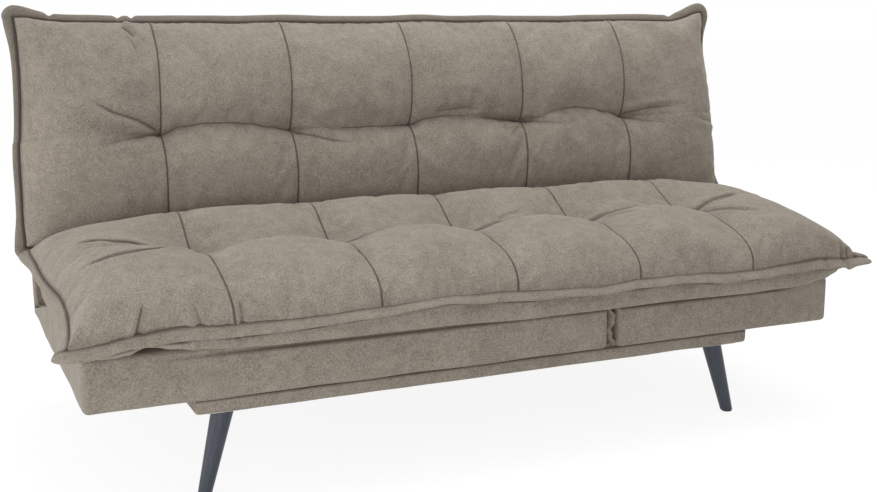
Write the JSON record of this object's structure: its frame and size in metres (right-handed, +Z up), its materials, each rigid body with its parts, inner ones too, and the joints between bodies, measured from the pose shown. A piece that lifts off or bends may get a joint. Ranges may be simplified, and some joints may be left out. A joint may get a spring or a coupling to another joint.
{
  "type": "sofa bed",
  "caption": "Tufted fabric sofa bed on splayed legs: the back folds flat behind the seat and the head end of the seat tilts up.",
  "frame": {"origin": "on the floor under the middle of the sofa's box", "axes": "+X to the right-hand (head) end seen from the front, +Y to the back, +Z up"},
  "size_m": [1.81, 0.8848, 0.9273],
  "materials": {
    "upholstery": "soft brushed woven fabric, taupe",
    "felt": "needled felt",
    "spring_wire": "oiled spring wire",
    "clip_plastic": "moulded, matte",
    "hinge_steel": "black powder coat",
    "zinc_steel": "zinc plated",
    "glide_plastic": "moulded, matte",
    "leg_lacquer": "satin slate lacquer",
    "dust_cloth": "non-woven cloth",
    "buffer_rubber": "matte rubber",
    "plywood": "raw plywood",
    "frame_wood": "raw sawn softwood"
  },
  "bodies": {
    "base": {"back_hinge_brackets": "hinge_steel", "back_hinge_pins": "hinge_steel", "base_centre_rail": "frame_wood", "base_corner_blocks": "frame_wood", "base_cover": "upholstery", "base_dust_cover": "dust_cloth", "base_front_rail": "frame_wood", "base_left_rail": "frame_wood", "base_rear_rail": "frame_wood", "base_right_rail": "frame_wood", "deck_buffers": "buffer_rubber", "gusset_pleat": "upholstery", "head_hinge_leaves": "hinge_steel", "head_hinge_pins": "hinge_steel", "leg_front_left": "leg_lacquer", "leg_front_right": "leg_lacquer", "leg_glides": "glide_plastic", "leg_plates": "zinc_steel", "leg_rear_left": "leg_lacquer", "leg_rear_right": "leg_lacquer", "leg_studs": "zinc_steel", "rear_deck_panel": "plywood", "seat_box_cover": "upholstery", "seat_deck_rail": "frame_wood", "seat_felt": "felt", "seat_flange": "upholstery", "seat_fold": "upholstery", "seat_fold_flange": "upholstery", "seat_front_rail": "frame_wood", "seat_hinge_rail": "frame_wood", "seat_left_rail": "frame_wood", "seat_pad": "upholstery", "seat_rear_rail": "frame_wood", "seat_right_rail": "frame_wood", "seat_spring_clips": "clip_plastic", "seat_springs": "spring_wire"},
    "head_end": {"head_box_cover": "upholstery", "head_end_rail": "frame_wood", "head_felt": "felt", "head_flange": "upholstery", "head_front_rail": "frame_wood", "head_hinge_arms": "hinge_steel", "head_hinge_rail": "frame_wood", "head_pad": "upholstery", "head_rear_rail": "frame_wood", "head_spring_clips": "clip_plastic", "head_springs": "spring_wire"},
    "back": {"back_bottom_rail": "frame_wood", "back_felt": "felt", "back_flange": "upholstery", "back_hinge_arms": "hinge_steel", "back_left_post": "frame_wood", "back_left_rail": "frame_wood", "back_pad": "upholstery", "back_rear_cover": "upholstery", "back_right_post": "frame_wood", "back_right_rail": "frame_wood", "back_spring_clips": "clip_plastic", "back_springs": "spring_wire", "back_top_rail": "frame_wood"}
  },
  "joints": [
    {"name": "back_recline", "type": "hinge", "parent": "base", "child": "back", "pos_m": [0, 0.1435, 0.4035], "axis": [-1, 0, 0], "range_deg": [0, 79]},
    {"name": "head_tilt", "type": "hinge", "parent": "base", "child": "head_end", "pos_m": [0.263, 0, 0.28], "axis": [0, -1, 0], "range_deg": [0, 40], "deforming": ["seat_fold", "seat_fold_flange", "gusset_pleat"]}
  ]
}
